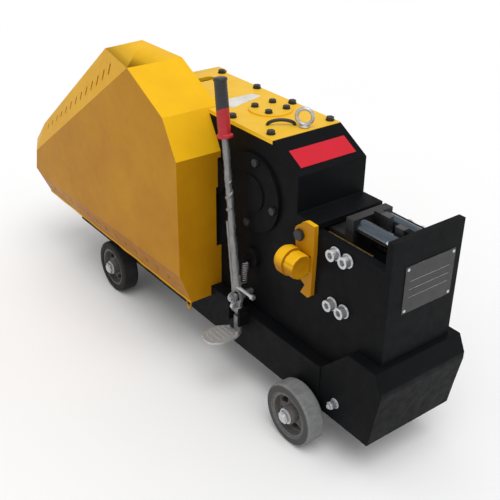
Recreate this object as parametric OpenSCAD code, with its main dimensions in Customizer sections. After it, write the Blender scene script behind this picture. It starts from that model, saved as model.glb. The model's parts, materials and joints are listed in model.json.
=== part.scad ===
// Rebar cutter: crank-driven shear for reinforcing bar, on a wheeled base.
// X runs forward to the nose, Y runs across, and the operator stands on the -Y side.
// Working coordinates start at the nose's top edge, the housing's centre plane and the floor;
// in_frame() moves them so that the origin is the centre of the footprint.

/* [Base] */
// Length of the base frame behind the nose
base_len = 1230; // [1180:5:1260]
// Half width of the base frame
base_half_w = 138; // [134:1:142]
// Height of the base frame's underside above the floor
base_bottom = 104; // [100:1:108]
// Height of the base frame's deck above the floor
base_top = 226; // [222:1:230]
// Height of the nose's top above the floor
nose_top = 310; // [306:1:314]

/* [Wheels] */
// Outer radius of a wheel
wheel_r = 81; // [78:1:82]
// Width of a wheel's tread
wheel_w = 50; // [44:1:52]
// Radius of both axles
axle_r = 12; // [10:1:14]

/* [Gear housing] */
// Half width of the gear housing
housing_half_w = 104.5; // [104:0.5:106]
// Thickness of the housing's side walls
wall_t = 16.5; // [15:0.5:17]
// Height of the housing's lid above the floor
housing_top = 704; // [702:1:708]
// Thickness of the lid
cover_t = 10; // [8:1:12]
// Height of the shelf in front of the housing
shelf_z = 557; // [555:1:560]

/* [Cutting head] */
// Half width over the cheeks of the head
head_half_w = 107; // [106:1:108]
// Height of the front plate's top
front_plate_top = 612; // [606:1:616]
// Radius of the two guide rods
rod_r = 18; // [15:1:18]
// Distance of each guide rod from the centre plane
rod_y = 34; // [34:0.5:36]
// Height of the guide rods' axes
rod_z = 563; // [562:1:564]
// Opening between the two blades when the ram is back
blade_gap = 34; // [30:1:34]
// Stroke of the ram, twice the crank's throw
stroke = 36; // [36:1:36]

/* [Drive] */
// Gear module of both gear stages
gear_module = 5; // [5:5]
// Teeth of the input pinion and of the intermediate pinion
pinion_teeth = 15; // [15:15]
// Teeth of the intermediate gear
mid_teeth = 50; // [50:50]
// Teeth of the bull gear on the crankshaft
bull_teeth = 52; // [52:52]
// Pitch radius of the flywheel's belt rim
flywheel_r = 160; // [155:1:162]
// Pitch radius of the motor pulley
pulley_r = 40; // [38:1:44]
// Radius of the motor's finned body
motor_r = 96; // [90:1:98]

/* [Operating lever] */
// Height of the lever's pivot above the floor
lever_pivot_z = 229; // [229:1:229]
// Radius of the lever's rod
lever_r = 10; // [8:0.5:10]
// Radius of the grip
grip_r = 15.5; // [14:0.5:17]

/* [Hidden] */
$fn = 64;

// Footprint centre in working coordinates
footprint_x = -755;
footprint_y = -17;

// Colours
black_paint = [0.16, 0.17, 0.18];
yellow_paint = [0.96, 0.72, 0.08];
steel = [0.62, 0.63, 0.65];
zinc = [0.78, 0.79, 0.80];
rubber_grey = [0.62, 0.63, 0.62];

// Stations along X
base_rear_x = -172 - base_len;
wheel_front_x = -215;
wheel_rear_x = -1085;
wheel_in_y = 146;
head_rear_x = -251;
plate_rear_x = -31;
plate_front_x = -13;
shelf_rear_x = -316;
lid_front_x = -412;
lid_rear_x = -905;
cover_crease_x = -945;

// Gear train: shaft centres in the XZ plane
crank_x = -474;
crank_z = 552;
crank_throw = stroke / 2;
pinion_r = gear_module * pinion_teeth / 2;
mid_r = gear_module * mid_teeth / 2;
bull_r = gear_module * bull_teeth / 2;
mid_z = crank_z - 12;
mid_x = crank_x - sqrt(pow(bull_r + pinion_r, 2) - pow(crank_z - mid_z, 2));
input_z = mid_z + 4;
input_x = mid_x - sqrt(pow(mid_r + pinion_r, 2) - pow(input_z - mid_z, 2));
motor_x = -1262;
motor_z = 344;

// Cutting head heights
bed_top = 500;
ram_top = 537;
head_plate_top = 584;
head_plate_rear_x = -202;
head_plate_front_x = -178;
blade_bottom = 506;
blade_top = 592;
blade_t = 15.3;
shear_gap = 0.2;
fixed_face_x = -98;
moving_face_x = fixed_face_x - blade_gap;
ram_seat_x = -333;

// Shaft radii and fits
journal_r = 32;
mid_shaft_r = 24;
input_shaft_r = 22;
bush_wall = 12;
running_gap = 0.05;

// Lever: its rod leans back by lever_lean for each millimetre of height
lever_y = -150;
lever_pin_r = 8;
lever_lean = -0.13;
lever_foot_x = -468;
lever_foot_z = 168;
clutch_rod_z = 269;
clutch_rod_r = 8;
spring_boss_x = -475;
spring_boss_z = 373;
function lever_x(z) = lever_foot_x + lever_lean * (z - lever_foot_z);

// Stop bracket
stop_pivot_x = -283;
stop_pivot_z = 524;
stop_pin_r = 8;
knob_y = -142;
knob_z = 460;
knob_r = 31;
spindle_r = 9;

module in_frame() translate([-footprint_x, -footprint_y, 0]) children();

module block(x0, x1, y0, y1, z0, z1)
    translate([x0, y0, z0]) cube([x1 - x0, y1 - y0, z1 - z0]);

module cyl_x(y, z, x0, x1, r)
    translate([x0, y, z]) rotate([0, 90, 0]) cylinder(h = x1 - x0, r = r);

module cyl_y(x, z, y0, y1, r)
    translate([x, y0, z]) rotate([-90, 0, 0]) cylinder(h = y1 - y0, r = r);

module cyl_z(x, y, z0, z1, r)
    translate([x, y, z0]) cylinder(h = z1 - z0, r = r);

// Frustum along Y from radius r0 at y0 to radius r1 at y1
module cone_y(x, z, y0, y1, r0, r1)
    translate([x, y0, z]) rotate([-90, 0, 0]) cylinder(h = y1 - y0, r1 = r0, r2 = r1);

// Outline given as [x, z] points, extruded from y0 to y1
module slab_y(points, y0, y1)
    translate([0, y1, 0]) rotate([90, 0, 0]) linear_extrude(y1 - y0) polygon(points);

// Hexagonal prism along Y, for a bolt head or a nut
module hex_y(x, z, y0, y1, across)
    translate([x, y0, z]) rotate([-90, 0, 0]) cylinder(h = y1 - y0, r = across / sqrt(3), $fn = 6);

// Hexagonal prism along Z
module hex_z(x, y, z0, z1, across)
    translate([x, y, z0]) cylinder(h = z1 - z0, r = across / sqrt(3), $fn = 6);

// Socket-head screw along Y: the head sits outside head_y, on the side given by out
module socket_screw_y(x, z, head_y, out, shank_r, head_r, head_h, shank_len) {
    tip_y = head_y + out * head_h;
    recess_y = tip_y - out * head_h * 0.6;
    end_y = head_y - out * shank_len;
    difference() {
        union() {
            cyl_y(x, z, min(head_y, tip_y), max(head_y, tip_y), head_r);
            cyl_y(x, z, min(head_y, end_y), max(head_y, end_y), shank_r);
        }
        hex_y(x, z, min(tip_y + out, recess_y), max(tip_y + out, recess_y), head_r);
    }
}

// Spur gear outline in the XZ plane, with a tooth centred on the angle phase
function gear_points(teeth, phase) =
    let (pitch_r = gear_module * teeth / 2, step = 360 / teeth,
        tip_r = pitch_r + 0.8 * gear_module, root_r = pitch_r - 1.15 * gear_module)
    [for (i = [0 : teeth - 1]) for (corner = [[root_r, -0.36], [tip_r, -0.13],
            [tip_r, 0.13], [root_r, 0.36]])
        let (a = phase + (i + corner[1]) * step) [corner[0] * cos(a), corner[0] * sin(a)]];

module gear_y(x, z, teeth, phase, y0, y1)
    translate([x, 0, z]) slab_y(gear_points(teeth, phase), y0, y1);

// ---- base, nose and wheels ----

// Closed box-section skid that carries the housing and the motor
module base_frame() in_frame() color(black_paint) difference() {
    block(base_rear_x, -172, -base_half_w, base_half_w, base_bottom, base_top);
    block(base_rear_x + 12, -184, -base_half_w + 12, base_half_w - 12,
        base_bottom + 12, base_top - 14);
}

nose_profile = [[-172, base_bottom], [-6, base_bottom], [4, base_bottom + 60], [20, 250],
    [20, 268], [0, nose_top], [-88, nose_top], [-172, base_top]];
nose_inner = [[-156, base_bottom + 16], [-20, base_bottom + 16], [-12, base_bottom + 62],
    [4, 252], [4, 264], [-9, nose_top - 16], [-82, nose_top - 16], [-156, base_top - 6]];

module nose_frame() in_frame() color(black_paint) difference() {
    slab_y(nose_profile, -135.7, 135.7);
    slab_y(nose_inner, -120, 120);
}

// Plates under the frame that hold the two axles
module axle_brackets() in_frame() color(black_paint)
    for (x = [wheel_front_x, wheel_rear_x], side = [-1, 1]) difference() {
        slab_y([[x - 34, base_bottom], [x + 34, base_bottom], [x + 18, wheel_r - 18],
            [x - 18, wheel_r - 18]], side * 129 - 7, side * 129 + 7);
        cyl_y(x, wheel_r, side * 129 - 8, side * 129 + 8, axle_r);
    }

// Two through axles, each with a washer and a nut at both ends
module axles() in_frame() color(steel) for (x = [wheel_front_x, wheel_rear_x]) {
    cyl_y(x, wheel_r, -wheel_in_y - wheel_w - 16, wheel_in_y + wheel_w + 16, axle_r);
    for (side = [-1, 1]) difference() {
        union() {
            cyl_y(x, wheel_r, min(side * 198, side * 201), max(side * 198, side * 201), 20);
            hex_y(x, wheel_r, min(side * 201, side * 209), max(side * 201, side * 209), 30);
            cyl_y(x, wheel_r, min(side * 136, side * 144.5), max(side * 136, side * 144.5), 18);
        }
        cyl_y(x, wheel_r, -230, 230, axle_r);
    }
}

hub_rim_r = 60;

// Window between two spokes, as [radius, angle] corners round its own centre line
window_corners = [[29, -9], [29, 9], [44, 26], [49, 22], [49, -22], [44, -26]];

// Cast hub: boss, web with five windows between broad spokes, and rim
module wheel_hub(x, side) in_frame() color([0.30, 0.31, 0.32]) {
    y_in = side * wheel_in_y;
    y_out = side * (wheel_in_y + wheel_w);
    lo = min(y_in, y_out);
    hi = max(y_in, y_out);
    mid = (lo + hi) / 2;
    difference() {
        union() {
            cyl_y(x, wheel_r, lo - 1, hi + 1, 22);
            cyl_y(x, wheel_r, mid - 5, mid + 5, hub_rim_r - 5);
            difference() {
                cyl_y(x, wheel_r, lo + 3, hi - 3, hub_rim_r);
                cyl_y(x, wheel_r, lo, hi, hub_rim_r - 8);
            }
        }
        cyl_y(x, wheel_r, lo - 4, hi + 4, axle_r + running_gap);
        for (i = [0 : 4]) translate([x, 0, wheel_r])
            slab_y([for (c = window_corners) [c[0] * cos(c[1] + 72 * i), c[0] * sin(c[1] + 72 * i)]], lo, hi);
    }
}

// Solid tyre with rounded shoulders, pressed on the hub's rim
module wheel_tyre(x, side) in_frame() color(rubber_grey)
    translate([x, side * (wheel_in_y + wheel_w / 2), wheel_r]) rotate([90, 0, 0])
    rotate_extrude() difference() {
        union() {
            translate([hub_rim_r, -wheel_w / 2]) square([wheel_r - hub_rim_r - 8, wheel_w]);
            translate([hub_rim_r, 8 - wheel_w / 2]) square([wheel_r - hub_rim_r, wheel_w - 16]);
            for (s = [-1, 1]) translate([wheel_r - 8, s * (wheel_w / 2 - 8)]) circle(r = 8);
        }
        translate([hub_rim_r - 20, -wheel_w]) square([20, 2 * wheel_w]);
    }

module front_near_hub() wheel_hub(wheel_front_x, -1);
module front_near_tyre() wheel_tyre(wheel_front_x, -1);
module front_far_hub() wheel_hub(wheel_front_x, 1);
module front_far_tyre() wheel_tyre(wheel_front_x, 1);
module rear_near_hub() wheel_hub(wheel_rear_x, -1);
module rear_near_tyre() wheel_tyre(wheel_rear_x, -1);
module rear_far_hub() wheel_hub(wheel_rear_x, 1);
module rear_far_tyre() wheel_tyre(wheel_rear_x, 1);

// ---- cutting head ----

bed_half_w = 82;
cheek_top = 541;
cheek_profile = [[head_rear_x, base_top], [-172, base_top], [-88, nose_top],
    [plate_rear_x, nose_top], [plate_rear_x, cheek_top], [head_rear_x, cheek_top]];
gib_bolt_x = [-178, -139];
gib_bolt_z = [388, 518];

module gib_bolt_holes(r) for (x = gib_bolt_x, z = gib_bolt_z) cyl_y(x, z, -120, 120, r);

module near_cheek() in_frame() color(black_paint) difference() {
    slab_y(cheek_profile, -head_half_w, -bed_half_w);
    gib_bolt_holes(8);
}

module far_cheek() in_frame() color(black_paint) difference() {
    slab_y(cheek_profile, bed_half_w, head_half_w);
    gib_bolt_holes(8);
}

// Solid bed between the cheeks, with the fixed blade's seat standing at its front
module head_bed() in_frame() color([0.22, 0.22, 0.23]) difference() {
    union() {
        slab_y([[head_rear_x, base_top], [-172, base_top], [-88, nose_top],
            [plate_rear_x, nose_top], [plate_rear_x, bed_top], [head_rear_x, bed_top]],
            -bed_half_w, bed_half_w);
        block(-73, plate_rear_x, -blade_t - shear_gap, -shear_gap, bed_top, blade_top);
    }
    for (side = [-1, 1], x = gib_bolt_x, z = gib_bolt_z)
        cyl_y(x, z, side * 71.5 - 11.5, side * 71.5 + 11.5, 8);
    for (z = [526, 562]) cyl_x(-7.9, z, -74, plate_rear_x + 1, 4);
}

module front_plate() in_frame() color(black_paint) difference() {
    block(plate_rear_x, plate_front_x, -head_half_w, head_half_w, nose_top, front_plate_top);
    for (y = [-rod_y, rod_y]) cyl_x(y, rod_z, plate_rear_x - 1, plate_front_x - 6, rod_r);
    for (z = [526, 562]) cyl_x(-7.9, z, plate_rear_x - 1, plate_rear_x + 10, 4);
}

// Blank rating plate with its four rivets
module nameplate() in_frame() color([0.12, 0.12, 0.13]) {
    block(plate_front_x, plate_front_x + 1.5, -64, 88, 430, 546);
    for (y = [-57, 81], z = [437, 539])
        translate([plate_front_x + 1.5, y, z]) rotate([0, 90, 0]) cylinder(h = 2, r1 = 3.5, r2 = 2);
}

// Polished rods that tie the head and guide the ram's plate
module guide_rods() in_frame() color([0.60, 0.66, 0.74])
    for (y = [-rod_y, rod_y]) cyl_x(y, rod_z, head_plate_rear_x - 3, plate_front_x - 6, rod_r);

module fixed_blade() in_frame() color([0.50, 0.51, 0.53]) difference() {
    block(fixed_face_x, -73, -blade_t - shear_gap, -shear_gap, blade_bottom, blade_top);
    for (z = [526, 562]) cyl_x(-7.9, z, fixed_face_x - 1, -72, 4);
    for (z = [526, 562]) cyl_x(-7.9, z, fixed_face_x - 1, fixed_face_x + 8, 6.6);
}

// Countersunk-in socket screws that hold the fixed blade
module fixed_blade_bolts() in_frame() color(zinc) for (z = [526, 562]) {
    cyl_x(-7.9, z, fixed_face_x + 1, fixed_face_x + 8, 6.6);
    cyl_x(-7.9, z, fixed_face_x + 8, plate_rear_x + 9, 4);
}

// Slide with a head plate that runs on the guide rods and carries the moving blade
module ram() in_frame() color(steel) difference() {
    union() {
        block(ram_seat_x, head_plate_front_x, -57.95, 57.95, bed_top + 0.05, ram_top);
        block(head_plate_rear_x, head_plate_front_x, -60, 60, bed_top + 5, head_plate_top);
        block(head_plate_front_x, moving_face_x - 25, shear_gap, blade_t + shear_gap,
            blade_bottom, blade_top);
    }
    for (y = [-rod_y, rod_y])
        cyl_x(y, rod_z, head_plate_rear_x - 1, head_plate_front_x + 1, rod_r + running_gap);
    for (z = [526, 562]) cyl_x(7.9, z, moving_face_x - 60, moving_face_x - 24, 4);
}

// Blade on the ram's nose, with its two screws
module moving_blade() in_frame() color([0.50, 0.51, 0.53]) {
    difference() {
        block(moving_face_x - 25, moving_face_x, shear_gap, blade_t + shear_gap,
            blade_bottom, blade_top);
        for (z = [526, 562]) cyl_x(7.9, z, moving_face_x - 26, moving_face_x + 1, 4);
        for (z = [526, 562]) cyl_x(7.9, z, moving_face_x - 8, moving_face_x + 1, 6.6);
    }
    for (z = [526, 562]) {
        cyl_x(7.9, z, moving_face_x - 8, moving_face_x - 1, 6.6);
        cyl_x(7.9, z, moving_face_x - 60, moving_face_x - 8, 4);
    }
}

// Bronze-faced strips on both sides of the ram
module gib_strips() in_frame() color([0.55, 0.42, 0.20]) for (side = [-1, 1]) difference() {
    block(head_rear_x, -110, min(side * 60.3, side * bed_half_w), max(side * 60.3, side * bed_half_w),
        bed_top, 528);
    for (x = gib_bolt_x) cyl_y(x, gib_bolt_z[1], side * 71.5 - 11.5, side * 71.5 + 11.5, 8);
}

// Eight socket-head screws through the cheeks, each with a washer under its head
module gib_bolts() in_frame() color(zinc) for (side = [-1, 1], x = gib_bolt_x, z = gib_bolt_z) {
    washer_y = side * (head_half_w + 3);
    cyl_y(x, z, min(side * head_half_w, washer_y), max(side * head_half_w, washer_y), 17);
    socket_screw_y(x, z, washer_y, side, 8, 14, 16, 44);
}

// ---- gear housing ----

module shaft_holes() {
    cyl_y(crank_x, crank_z, -120, 120, journal_r + bush_wall);
    cyl_y(mid_x, mid_z, -120, 120, mid_shaft_r + bush_wall);
    cyl_y(input_x, input_z, -120, 120, input_shaft_r + bush_wall);
}

inner_half_w = housing_half_w - wall_t;
lid_seat_z = housing_top - cover_t;
slope_foot_z = 649;
guide_rear_x = -334;
wall_profile = [[lid_rear_x, base_top], [head_rear_x, base_top], [head_rear_x, shelf_z],
    [shelf_rear_x, shelf_z], [shelf_rear_x, slope_foot_z], [lid_front_x, housing_top],
    [lid_front_x, lid_seat_z], [lid_rear_x, lid_seat_z]];

// Front, rear and floor plates between the two side walls, and the ram's guide floor
module housing_shell() in_frame() color(black_paint) difference() {
    slab_y(wall_profile, -inner_half_w, inner_half_w);
    slab_y([[lid_rear_x + 14, base_top + 12], [guide_rear_x, base_top + 12],
        [guide_rear_x, bed_top], [head_rear_x + 1, bed_top], [head_rear_x + 1, ram_top + 3],
        [shelf_rear_x - 14, ram_top + 3], [shelf_rear_x - 14, slope_foot_z - 8],
        [lid_front_x - 8, housing_top + 1], [lid_rear_x + 14, housing_top + 1]],
        -inner_half_w - 1, inner_half_w + 1);
}

module near_wall() in_frame() color(black_paint) difference() {
    union() {
        slab_y(wall_profile, -housing_half_w, -inner_half_w);
        cyl_y(spring_boss_x, spring_boss_z, -118, -housing_half_w, 27);
        cyl_y(spring_boss_x, spring_boss_z, -142, -118, 6);
    }
    shaft_holes();
    cyl_y(lever_x(clutch_rod_z), clutch_rod_z, -120, -80, clutch_rod_r + running_gap);
}

module far_wall() in_frame() color(black_paint) difference() {
    slab_y(wall_profile, inner_half_w, housing_half_w);
    shaft_holes();
}

hatch_x = -578;
hatch_y = 20;
hatch_r = 56;
eye_x = -436;
eye_y = 10;
cover_bolt_places = [[-447, -82], [-588, -90], [-730, -94], [-436, 91],
    [-582, 93], [-730, 93], [-892, -94], [-892, 93]];

// Yellow lid over the gear case, with the round hole under the inspection cover
module top_cover() in_frame() color(yellow_paint) difference() {
    block(lid_rear_x, lid_front_x, -housing_half_w, housing_half_w, lid_seat_z, housing_top);
    cyl_z(hatch_x, hatch_y, lid_seat_z - 1, housing_top + 1, hatch_r - 16);
    for (p = cover_bolt_places) cyl_z(p[0], p[1], lid_seat_z - 1, housing_top + 1, 5);
    cyl_z(eye_x, eye_y, lid_seat_z - 1, housing_top + 1, 10);
    for (y = [7, 37]) cyl_z(-872, y, lid_seat_z - 1, housing_top + 1, 15);
    block(-887, -857, 7, 37, lid_seat_z - 1, housing_top + 1);
}

// Hexagon screws and washers that hold the lid down
module cover_bolts() in_frame() color([0.35, 0.36, 0.38]) for (p = cover_bolt_places) {
    cyl_z(p[0], p[1], lid_seat_z, housing_top, 5);
    cyl_z(p[0], p[1], housing_top, housing_top + 2, 11);
    hex_z(p[0], p[1], housing_top + 2, housing_top + 9, 17);
}

handle_foot = [[-497, -54], [-459, 1]];
handle_run = handle_foot[1] - handle_foot[0];

// Round cover with four screws, and the low bar handle that stands beside it
module inspection_cover() in_frame() color(yellow_paint) {
    cyl_z(hatch_x, hatch_y, housing_top, housing_top + 5, hatch_r);
    for (a = [45 : 90 : 315]) {
        px = hatch_x + 39.5 * cos(a);
        py = hatch_y + 39.5 * sin(a);
        cyl_z(px, py, housing_top + 5, housing_top + 6.5, 10);
        hex_z(px, py, housing_top + 6.5, housing_top + 13, 16);
    }
    for (p = handle_foot) cyl_z(p[0], p[1], housing_top, housing_top + 13, 4.5);
    translate([handle_foot[0][0], handle_foot[0][1], housing_top + 13])
        rotate([0, 0, atan2(handle_run[1], handle_run[0])]) cyl_x(0, 0, 0, norm(handle_run), 4);
}

// Lifting eye screwed into the lid
module eye_bolt() in_frame() color(zinc) {
    cyl_z(eye_x, eye_y, lid_seat_z, housing_top, 10);
    cyl_z(eye_x, eye_y, housing_top, housing_top + 5, 13);
    cyl_z(eye_x, eye_y, housing_top + 5, housing_top + 9, 8);
    translate([eye_x, eye_y, housing_top + 26]) rotate([90, 0, 38]) rotate_extrude()
        translate([19.5, 0]) circle(r = 5, $fn = 32);
}

label_tilt = atan2(housing_top - slope_foot_z, shelf_rear_x - lid_front_x);

// Blank coloured badge on the housing's sloping face
module label_plate() in_frame() color([0.80, 0.08, 0.14])
    translate([(shelf_rear_x + lid_front_x) / 2, 0, (slope_foot_z + housing_top) / 2])
    rotate([0, label_tilt, 0]) translate([-16, -84, 0])
    cube([52, 168, 1.5]);

// ---- gear train inside the housing ----

mesh_mid = atan2(mid_z - crank_z, mid_x - crank_x);
mesh_input = atan2(input_z - mid_z, input_x - mid_x);
near_gear_y = [-85, -58];
far_gear_y = [42, 68];

// Crankshaft with its eccentric, at rear dead centre, and two feather keys for the clutch
module crankshaft() in_frame() color(steel) {
    cyl_y(crank_x, crank_z, -104, 104, journal_r);
    cyl_y(crank_x - crank_throw, crank_z, -28, 28, 52);
    for (s = [-1, 1]) block(crank_x - 5, crank_x + 5, -57, -28,
        crank_z + s * (journal_r + 0.5) - 3.5, crank_z + s * (journal_r + 0.5) + 3.5);
}

rod_nose_x = -370;

// Connecting rod: split-free big end on the eccentric and a round pushing nose
module connecting_rod() in_frame() color([0.45, 0.46, 0.48]) difference() {
    union() {
        cyl_y(crank_x - crank_throw, crank_z, -25, 25, 72);
        slab_y([[crank_x - crank_throw, crank_z - 30], [rod_nose_x - 18, crank_z - 46],
            [rod_nose_x - 18, crank_z - 10], [crank_x - crank_throw, crank_z + 30]], -20, 20);
        cyl_y(rod_nose_x - 18, crank_z - 28, -20, 20, 18);
    }
    cyl_y(crank_x - crank_throw, crank_z, -26, 26, 52 + running_gap);
}

// Bull gear, free on the crankshaft, with a cone seat for the clutch in its inner face
module bull_gear() in_frame() color([0.50, 0.50, 0.50]) difference() {
    gear_y(crank_x, crank_z, bull_teeth, mesh_mid + 180 / bull_teeth,
        near_gear_y[0], near_gear_y[1]);
    cyl_y(crank_x, crank_z, -86, -57, journal_r + running_gap);
    cone_y(crank_x, crank_z, -62.6, -57.9, 43.7, 48.4);
    for (i = [0 : 5])
        cyl_y(crank_x + 92 * cos(60 * i), crank_z + 92 * sin(60 * i), -86, -57, 22);
}

// Sliding clutch sleeve with a cone nose and a groove for the fork
module clutch_sleeve() in_frame() color([0.58, 0.58, 0.60]) difference() {
    union() {
        cyl_y(crank_x, crank_z, -49, -31, 56);
        cone_y(crank_x, crank_z, -55, -49, 44, 50);
    }
    difference() {
        cyl_y(crank_x, crank_z, -44, -36, 57);
        cyl_y(crank_x, crank_z, -45, -35, 47);
    }
    cyl_y(crank_x, crank_z, -56, -30, journal_r + running_gap);
    block(crank_x - 5.4, crank_x + 5.4, -56, -30, crank_z - 36.6, crank_z + 36.6);
}

// Shifting fork on its push-pull rod, with two collars outside for the lever
module clutch_fork() in_frame() color(steel) {
    fx = lever_x(clutch_rod_z);
    difference() {
        union() {
            cyl_y(crank_x, crank_z, -43.6, -36.4, 68);
            block(crank_x - 15, crank_x + 15, -43.6, -36.4, clutch_rod_z, crank_z - 50);
            cyl_y(fx, clutch_rod_z, -48, -32, 17);
        }
        cyl_y(crank_x, crank_z, -44, -36, 48.5);
        block(crank_x - 80, crank_x + 80, -44, -36, crank_z + 6, crank_z + 80);
    }
    cyl_y(fx, clutch_rod_z, -176, -48, clutch_rod_r);
    cyl_y(fx, clutch_rod_z, -140, -134, 14);
    cyl_y(fx, clutch_rod_z, -166, -160, 14);
    hex_y(fx, clutch_rod_z, -172, -166, 22);
}

module intermediate_shaft() in_frame() color(steel) {
    cyl_y(mid_x, mid_z, -104, 104, mid_shaft_r);
    gear_y(mid_x, mid_z, pinion_teeth, mesh_mid + 180, near_gear_y[0], near_gear_y[1]);
}

module intermediate_gear() in_frame() color([0.50, 0.50, 0.50]) difference() {
    gear_y(mid_x, mid_z, mid_teeth, mesh_input + 180 / mid_teeth, far_gear_y[0], far_gear_y[1]);
    cyl_y(mid_x, mid_z, 41, 69, mid_shaft_r);
    for (i = [0 : 4])
        cyl_y(mid_x + 78 * cos(72 * i), mid_z + 78 * sin(72 * i), 41, 69, 24);
}

// Input shaft with its pinion, from the far bearing to the flywheel
module input_shaft() in_frame() color(steel) {
    cyl_y(input_x, input_z, -216, 104, input_shaft_r);
    gear_y(input_x, input_z, pinion_teeth, mesh_input + 180, far_gear_y[0], far_gear_y[1]);
    cyl_y(input_x, input_z, -209, -204, 34);
    hex_y(input_x, input_z, -224, -209, 46);
}

groove_y = [-187, -168, -149];

// Belt groove profile as a ring cutter round a pulley axis
module groove_ring(r, y) translate([0, y, 0]) rotate([90, 0, 0]) rotate_extrude()
    polygon([[r - 8, -4.5], [r + 8, -7.5], [r + 8, 7.5], [r - 8, 4.5]]);

// Heavy flywheel with three belt grooves in its rim
module flywheel() in_frame() color([0.20, 0.20, 0.21]) translate([input_x, 0, input_z])
    difference() {
        union() {
            difference() {
                cyl_y(0, 0, -202, -134, flywheel_r + 5);
                cyl_y(0, 0, -203, -133, flywheel_r - 24);
            }
            cyl_y(0, 0, -176, -160, flywheel_r - 20);
            cyl_y(0, 0, -204, -132, 42);
        }
        for (y = groove_y) groove_ring(flywheel_r, y);
        cyl_y(0, 0, -205, -131, input_shaft_r);
        for (i = [0 : 5]) cyl_y(88 * cos(60 * i), 88 * sin(60 * i), -177, -159, 27);
    }

// Bronze bushes pressed in the two walls for the three shafts
module shaft_bushes() in_frame() color([0.65, 0.48, 0.22]) for (side = [-1, 1]) {
    lo = min(side * 86.5, side * housing_half_w);
    hi = max(side * 86.5, side * housing_half_w);
    difference() {
        union() {
            cyl_y(crank_x, crank_z, lo, hi, journal_r + bush_wall);
            cyl_y(mid_x, mid_z, lo, hi, mid_shaft_r + bush_wall);
            cyl_y(input_x, input_z, lo, hi, input_shaft_r + bush_wall);
        }
        cyl_y(crank_x, crank_z, lo - 1, hi + 1, journal_r + running_gap);
        cyl_y(mid_x, mid_z, lo - 1, hi + 1, mid_shaft_r + running_gap);
        cyl_y(input_x, input_z, lo - 1, hi + 1, input_shaft_r + running_gap);
    }
}

crank_cap_r = 100;
crank_cap_bolt_r = 85;
small_cap_r = 52;

// Round caps over the shaft ends; the near cap of the input shaft lets the shaft through
module bearing_caps() in_frame() color(black_paint) for (side = [-1, 1]) {
    lo = min(side * housing_half_w, side * (housing_half_w + 9));
    hi = max(side * housing_half_w, side * (housing_half_w + 9));
    difference() {
        union() {
            cyl_y(crank_x, crank_z, lo, hi, crank_cap_r);
            cyl_y(crank_x, crank_z, min(lo, lo + side * 5), max(hi, hi + side * 5), 46);
        }
        for (i = [0 : 3]) cyl_y(crank_x + crank_cap_bolt_r * cos(cap_angle + 90 * i),
            crank_z + crank_cap_bolt_r * sin(cap_angle + 90 * i), lo - 1, hi + 1, 6);
    }
    for (x = side < 0 ? [mid_x] : [mid_x, input_x])
        cyl_y(x, x == mid_x ? mid_z : input_z, lo, hi, small_cap_r);
    if (side < 0) difference() {
        cyl_y(input_x, input_z, lo, hi, small_cap_r);
        cyl_y(input_x, input_z, lo - 1, hi + 1, input_shaft_r + 1);
    }
}

cap_angle = 80;

// Hexagon screws of the crankshaft caps, and the stop bracket's pivot screw
module cap_bolts() in_frame() color([0.30, 0.31, 0.33]) {
    for (side = [-1, 1], i = [0 : 3]) {
        px = crank_x + crank_cap_bolt_r * cos(cap_angle + 90 * i);
        pz = crank_z + crank_cap_bolt_r * sin(cap_angle + 90 * i);
        f = housing_half_w + 9;
        cyl_y(px, pz, min(side * housing_half_w, side * f), max(side * housing_half_w, side * f), 6);
        hex_y(px, pz, min(side * f, side * (f + 8)), max(side * f, side * (f + 8)), 18);
    }
    cyl_y(stop_pivot_x, stop_pivot_z, -120, -housing_half_w, stop_pin_r);
    hex_y(stop_pivot_x, stop_pivot_z, -130, -119.5, 25);
}

// ---- motor and belts ----

// Ribbed motor body with its two feet
module motor_housing() in_frame() color([0.20, 0.30, 0.36]) difference() {
    union() {
        cyl_y(motor_x, motor_z, -92, 122, motor_r - 10);
        cyl_y(motor_x, motor_z, -92, -78, motor_r);
        cyl_y(motor_x, motor_z, 108, 122, motor_r);
        for (i = [0 : 31]) translate([motor_x, 0, motor_z]) rotate([0, i * 360 / 32, 0])
            block(motor_r - 12, motor_r - 1, -79, 109, -1.5, 1.5);
        for (x = [-70, 70])
            block(motor_x + x - 20, motor_x + x + 20, -60, 90, base_top + 14, motor_z - 60);
    }
    cyl_y(motor_x, motor_z, -93, 123, 14 + running_gap);
}

// Pressed cover over the motor's fan, open at the back through a slotted grille
module fan_cover() in_frame() color([0.14, 0.14, 0.15]) difference() {
    cyl_y(motor_x, motor_z, 122, 172, motor_r + 1);
    cyl_y(motor_x, motor_z, 121, 169, motor_r - 2);
    for (ring = [28, 46, 64], i = [0 : 11])
        translate([motor_x, 0, motor_z]) rotate([0, 30 * i + ring, 0])
        cyl_y(ring, 0, 165, 175, 6);
}

// Motor shaft with its cooling fan
module motor_rotor() in_frame() color([0.55, 0.55, 0.57]) {
    cyl_y(motor_x, motor_z, -200, 156, 14);
    difference() {
        union() {
            cyl_y(motor_x, motor_z, 130, 154, 30);
            for (i = [0 : 6]) translate([motor_x, 0, motor_z]) rotate([0, i * 360 / 7, 0])
                block(26, 82, 132, 154, -2, 2);
        }
        cyl_y(motor_x, motor_z, 129, 157, 14);
    }
}

module motor_pulley() in_frame() color([0.30, 0.30, 0.31])
    translate([motor_x, 0, motor_z]) difference() {
        cyl_y(0, 0, -200, -136, pulley_r + 5);
        for (y = groove_y) groove_ring(pulley_r, y);
        cyl_y(0, 0, -201, -135, 14);
    }

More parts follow.
